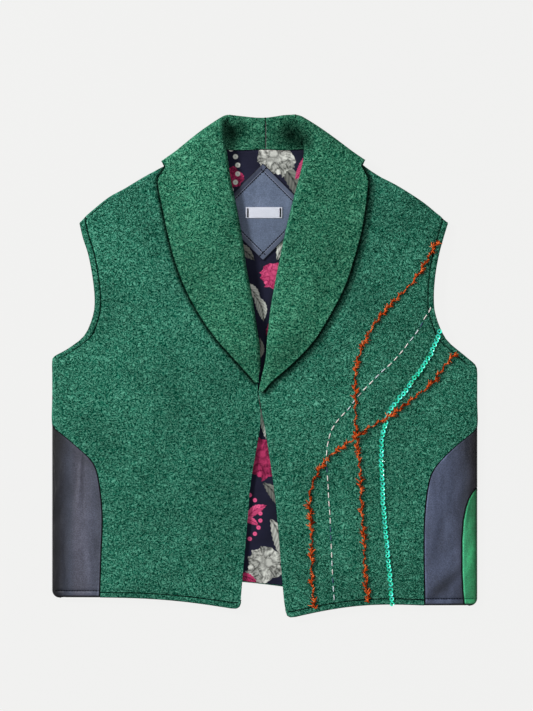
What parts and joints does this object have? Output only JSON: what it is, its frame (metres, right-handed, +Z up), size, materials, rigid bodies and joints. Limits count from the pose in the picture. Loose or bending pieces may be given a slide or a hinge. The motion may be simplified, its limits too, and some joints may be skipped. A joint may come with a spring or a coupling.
{
  "type": "embroidered vest",
  "caption": "Short sleeveless vest of felted wool laid flat, with a folded shawl collar, leather side panels and couched yarn on one front.",
  "frame": {"origin": "the point on the surface it lies on, under the middle of the garment's outline", "axes": "+X to the wearer's left, +Y from the hem to the collar, +Z up from the surface it lies on"},
  "size_m": [0.5098, 0.602, 0.0249],
  "materials": {
    "green felted wool": "matt, fuzzy felted wool",
    "navy leather": "soft, creased, low sheen",
    "green leather": "soft, creased, low sheen",
    "slate blue leather": "soft, low sheen, topstitched",
    "navy floral lining": "smooth printed cloth",
    "white woven tape": "fine woven tape",
    "orange yarn": "loose wool yarn"
  },
  "bodies": {
    "root": {"back": "green felted wool", "back_lining": "navy floral lining", "front_right": "green felted wool", "front_left": "green felted wool", "collar_right": "green felted wool", "collar_left": "green felted wool", "leather_right_side": "navy leather", "leather_left_front": "navy leather", "leather_left_back": "navy leather", "leather_left_fold": "green leather", "neck_patch": "slate blue leather", "woven_label": "white woven tape", "couched_yarn_upper": "orange yarn", "couched_yarn_lower": "orange yarn"}
  },
  "joints": []
}
